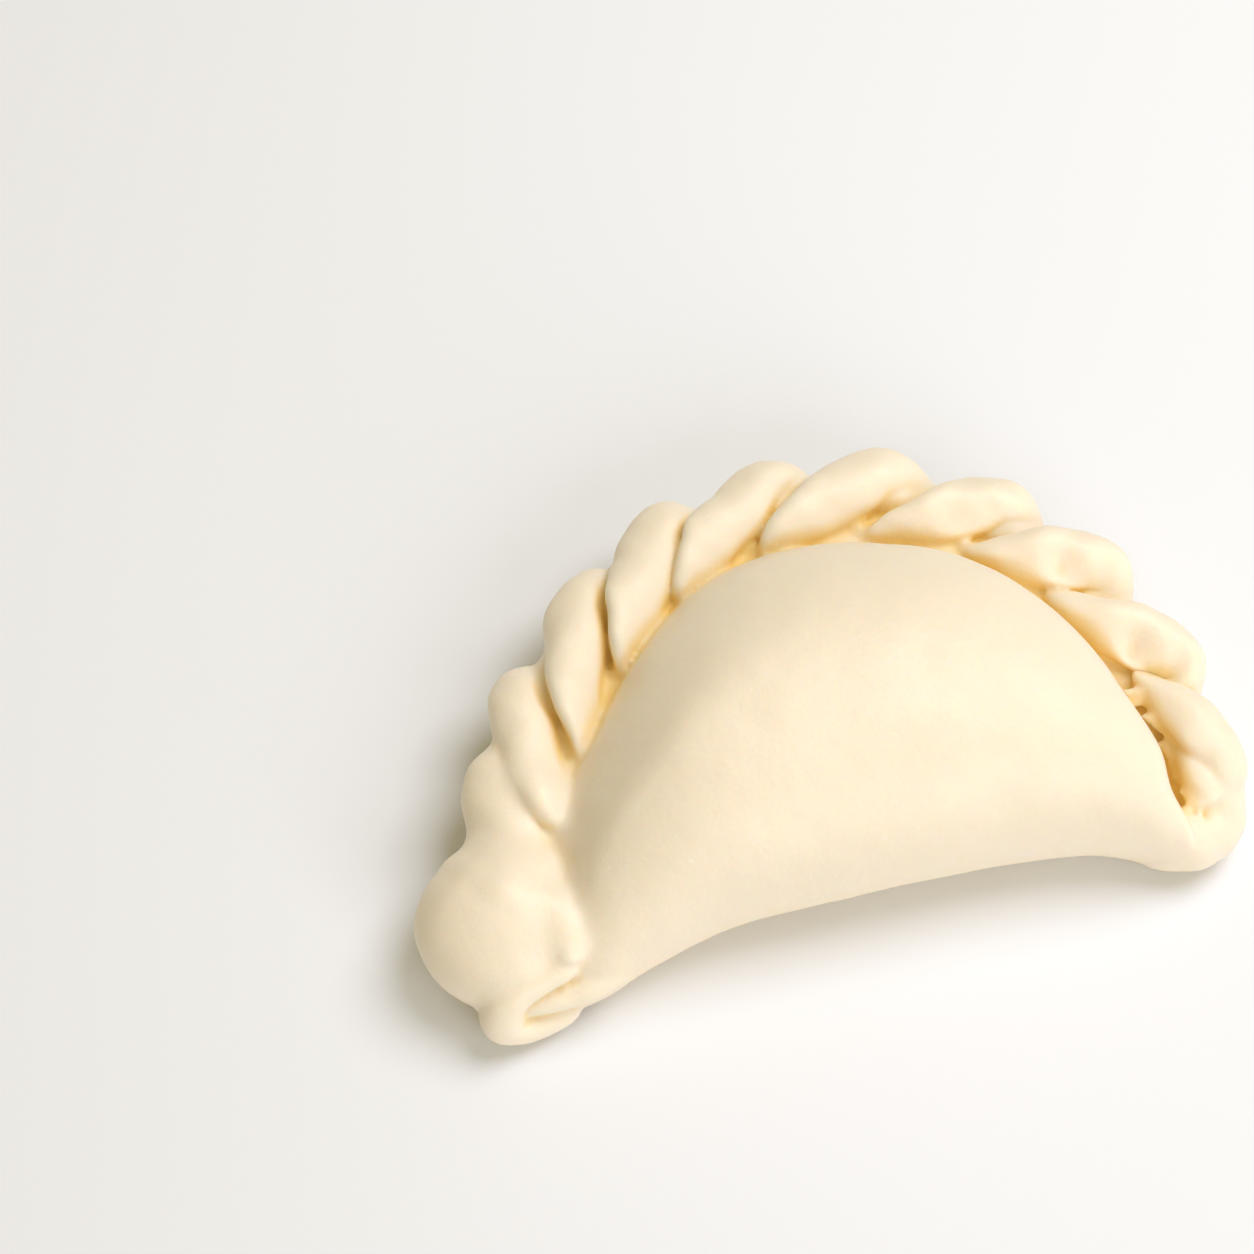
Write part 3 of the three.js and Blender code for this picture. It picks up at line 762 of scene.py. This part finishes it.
def soften_left_end(obj, points, edges):
    """Fill the creases round the bulb, then smooth it."""
    x, y, _ = points.T
    tucked = ease(*LEFT_END_X, x) * ease(*LEFT_END_BACK_Y, y) * ease(*LEFT_END_FRONT_Y, y)
    filled = np.maximum(tucked, ease(*LEFT_OUTLINE_X, x))
    set_coordinates(obj, points)
    normals = normals_of(obj)
    fill = ((smooth(points, edges, LEFT_FILLING_ROUNDS) - points) * normals).sum(1)
    fill = np.maximum(fill, 0)
    points = points + LEFT_FILLING * (filled * fill)[:, None] * normals
    soft = smooth(points, edges, LEFT_ROUNDS)
    return points + LEFT_SOFTNESS * tucked[:, None] * (soft - points)


def make_uneven(obj, points):
    """Raise and lower the skin in swells, more on the rope and not on the underside."""
    plan_line = rope.at(np.linspace(0, rope.length, 200))[:, :2]
    gap = np.min([np.hypot(*(points[:, :2] - p).T) for p in plan_line], axis=0)
    uneven = mix((BELLY_UNEVENNESS, 1.0), ease(*ROPE_UNEVENNESS_REACH, gap))
    uneven = uneven * ease(*EVEN_UNDERSIDE, points[:, 2])
    set_coordinates(obj, points)
    normals = normals_of(obj)
    for wavelength, amount in UNEVENNESS:
        raised = amount * uneven * swells(points, wavelength)
        points = points + normals * raised[:, None]
    return points


dough = mesh_object("empanada_dough", *join(dough_pieces()))
fuse(dough, VOXEL)
edges = edges_of(dough)
points = smooth(coordinates(dough), edges, FUSING_ROUNDS)
points = points + CREASE_SHARPENING * (points - smooth(points, edges, SHARPENING_ROUNDS))
points = soften_saddles(dough, smooth(points, edges, 1), edges)
press_hollows(points)
points = make_uneven(dough, soften_left_end(dough, points, edges))
set_coordinates(dough, points)

# The cavities are measured on the fine mesh and carried over to the thinned one.
crease = cavity(points, normals_of(dough), edges, CREASE_ROUNDS)
hollow = cavity(points, normals_of(dough), edges, HOLLOW_ROUNDS)
fine_points = KDTree(len(points))
for number, point in enumerate(points.tolist()):
    fine_points.insert(point, number)
fine_points.balance()
thin = dough.modifiers.new("thin", "DECIMATE")
thin.ratio = DECIMATION
apply_modifiers(dough)
points = coordinates(dough)
edges = edges_of(dough)
same = [fine_points.find(point)[1] for point in points.tolist()]
shades = {
    "crease": crease[same],
    "hollow": hollow[same],
    "open": openness(dough, edges, SKY_RAYS),
}

# ---------------------------------------------------------------- set on the solid's box

low, high = (np.array(corner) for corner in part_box("empanada"))
middle = (points.min(0) + points.max(0)) / 2
fit = (high - low) / ((points.max(0) - points.min(0)) * MM)
shift = (low + high) / 2 - middle * MM * fit


def to_metres(p):
    return np.asarray(p, float) * MM * fit + shift


set_coordinates(dough, to_metres(points))
for name, values in shades.items():
    dough.data.attributes.new(name, "FLOAT", "POINT").data.foreach_set("value", values)
dough.data.shade_smooth()

# ---------------------------------------------------------------- material


class Nodes:
    """Short names for building a node tree."""

    def __init__(self, name):
        self.material = bpy.data.materials.new(name)
        self.material.use_nodes = True
        self.tree = self.material.node_tree
        self.shader = self.tree.nodes["Principled BSDF"]

    def add(self, kind, inputs=None, **settings):
        node = self.tree.nodes.new(kind)
        for key, value in settings.items():
            setattr(node, key, value)
        for key, value in (inputs or {}).items():
            if isinstance(value, bpy.types.NodeSocket):
                self.tree.links.new(value, node.inputs[key])
            else:
                node.inputs[key].default_value = value
        return node

    def link(self, source, target):
        self.tree.links.new(source, target)

    def ramp(self, source, low, high, out_low=0.0, out_high=1.0):
        node = self.add(
            "ShaderNodeMapRange",
            {"Value": source, 1: low, 2: high, 3: out_low, 4: out_high},
        )
        return node.outputs[0]

    def blend(self, share, first, second):
        node = self.add("ShaderNodeMix", data_type="RGBA")
        for socket, value in ((0, share), (6, first), (7, second)):
            if isinstance(value, bpy.types.NodeSocket):
                self.link(value, node.inputs[socket])
            else:
                node.inputs[socket].default_value = value
        return node.outputs[2]

    def noise(self, scale, detail, roughness):
        node = self.add(
            "ShaderNodeTexNoise",
            {"Vector": self.position, "Scale": scale, "Detail": detail, "Roughness": roughness},
        )
        return node.outputs[0]

    def bump(self, height, strength, distance):
        return self.add(
            "ShaderNodeBump", {"Height": height, "Strength": strength, "Distance": distance}
        )


def dough_material():
    n = Nodes("raw_dough")
    n.position = n.add("ShaderNodeTexCoord").outputs["Object"]
    shade = {
        name: n.add("ShaderNodeAttribute", attribute_name=name).outputs["Fac"] for name in shades
    }
    # Cream with painted light and painted shade: paler where it is open to the sky, golden where
    # closed in and in creases and hollows.
    mottling = n.ramp(n.noise(*MOTTLING), *MOTTLING_RAMP)
    # Painted light: openness to the sky, with random mottling added, pales the cream.
    painted_light_and_mottling = n.add("ShaderNodeMath", {0: shade["open"], 1: mottling}, operation="ADD").outputs[0]
    colour = n.blend(n.ramp(painted_light_and_mottling, *PAINTED_LIGHT_WHERE_OPEN), CREAM, PAINTED_LIGHT_PALE)
    colour = n.blend(n.ramp(shade["open"], *PAINTED_SHADE_WHERE_CLOSED), colour, PAINTED_SHADE_GOLDEN)
    colour = n.blend(n.ramp(shade["crease"], *PAINTED_SHADE_IN_CREASES), colour, PAINTED_SHADE_GOLDEN)
    colour = n.blend(n.ramp(shade["hollow"], *PAINTED_SHADE_IN_HOLLOWS), colour, PAINTED_SHADE_GOLDEN)
    # Flour and a painted highlight on the ridges, and flour in faint patches of specks.
    colour = n.blend(n.ramp(shade["crease"], *FLOUR_AND_HIGHLIGHT_ON_RIDGES), colour, FLOUR_AND_HIGHLIGHT)
    specks = n.ramp(n.noise(*SPECKS), *SPECK_RAMP)
    patches = n.ramp(n.noise(*SPECK_PATCHES), *SPECK_PATCH_RAMP)
    specks = n.add("ShaderNodeMath", {0: specks, 1: patches}, operation="MULTIPLY").outputs[0]
    colour = n.blend(specks, colour, FLOUR_AND_HIGHLIGHT)
    n.link(colour, n.shader.inputs["Base Color"])
    n.link(n.ramp(n.noise(*SHEEN), *ROUGHNESS_RAMP), n.shader.inputs["Roughness"])
    n.shader.inputs["Subsurface Weight"].default_value = SUBSURFACE_WEIGHT
    n.shader.inputs["Subsurface Radius"].default_value = SUBSURFACE_RADIUS
    n.shader.inputs["Subsurface Scale"].default_value = SUBSURFACE_SCALE
    n.shader.inputs["Specular IOR Level"].default_value = SPECULAR_LEVEL
    lumps = n.bump(n.noise(*LUMPS), *LUMP_BUMP)
    grain = n.bump(n.noise(*GRAIN), *GRAIN_BUMP)
    n.link(lumps.outputs[0], grain.inputs["Normal"])
    n.link(grain.outputs[0], n.shader.inputs["Normal"])
    return n.material


dough.data.materials.clear()
dough.data.materials.append(dough_material())
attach(dough, "root")
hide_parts("empanada")

# ---------------------------------------------------------------- studio


def floor():
    mesh = bpy.data.meshes.new("floor")
    made = bmesh.new()
    bmesh.ops.create_grid(made, x_segments=1, y_segments=1, size=FLOOR_SIDE)
    made.to_mesh(mesh)
    made.free()
    obj = bpy.data.objects.new("floor", mesh)
    bpy.context.scene.collection.objects.link(obj)
    n = Nodes("pale_floor")
    n.shader.inputs["Base Color"].default_value = FLOOR_COLOUR
    n.shader.inputs["Roughness"].default_value = FLOOR_ROUGHNESS
    mesh.materials.append(n.material)


def area_light(name, place, size, power):
    data = bpy.data.lights.new(name, "AREA")
    data.shape = "DISK"
    data.size = size
    data.energy = power
    data.color = LAMP_COLOUR
    obj = bpy.data.objects.new(name, data)
    bpy.context.scene.collection.objects.link(obj)
    obj.location = place
    direction = Vector(LAMP_AIM) - Vector(place)
    obj.rotation_euler = direction.to_track_quat("-Z", "Y").to_euler()


def world(strength, colour):
    scene_world = bpy.data.worlds.new("studio")
    scene_world.use_nodes = True
    background = scene_world.node_tree.nodes["Background"]
    background.inputs["Color"].default_value = (*colour, 1)
    background.inputs["Strength"].default_value = strength
    bpy.context.scene.world = scene_world


def camera():
    a, e = math.radians(VIEW_AZIMUTH), math.radians(VIEW_ELEVATION)
    back = np.array([math.sin(a) * math.cos(e), -math.cos(a) * math.cos(e), math.sin(e)])
    right = np.array([math.cos(a), math.sin(a), 0.0])
    up = np.cross(back, right)
    turn = np.stack([right, up, back], 1)
    focal = IMAGE_SIDE / 2 / math.tan(math.radians(FIELD_OF_VIEW) / 2)
    ray = np.array([
        (AIM_PIXEL[0] - IMAGE_SIDE / 2) / focal,
        -(AIM_PIXEL[1] - IMAGE_SIDE / 2) / focal,
        -1.0,
    ])
    place = to_metres(AIM_POINT) - turn @ unit(ray) * VIEW_DISTANCE * MM
    data = bpy.data.cameras.new("camera")
    data.sensor_width = SENSOR
    data.lens = SENSOR / 2 / math.tan(math.radians(FIELD_OF_VIEW) / 2)
    data.clip_start = 0.01
    obj = bpy.data.objects.new("camera", data)
    bpy.context.scene.collection.objects.link(obj)
    obj.matrix_world = Matrix.Translation(place) @ Matrix(turn.tolist()).to_4x4()
    bpy.context.scene.camera = obj


floor()
area_light("key", KEY_PLACE, KEY_SIZE, KEY_POWER)
area_light("front", FRONT_PLACE, FRONT_SIZE, FRONT_POWER)
world(AMBIENT_STRENGTH, AMBIENT_COLOUR)
camera()
bpy.context.scene.view_settings.view_transform = "Standard"
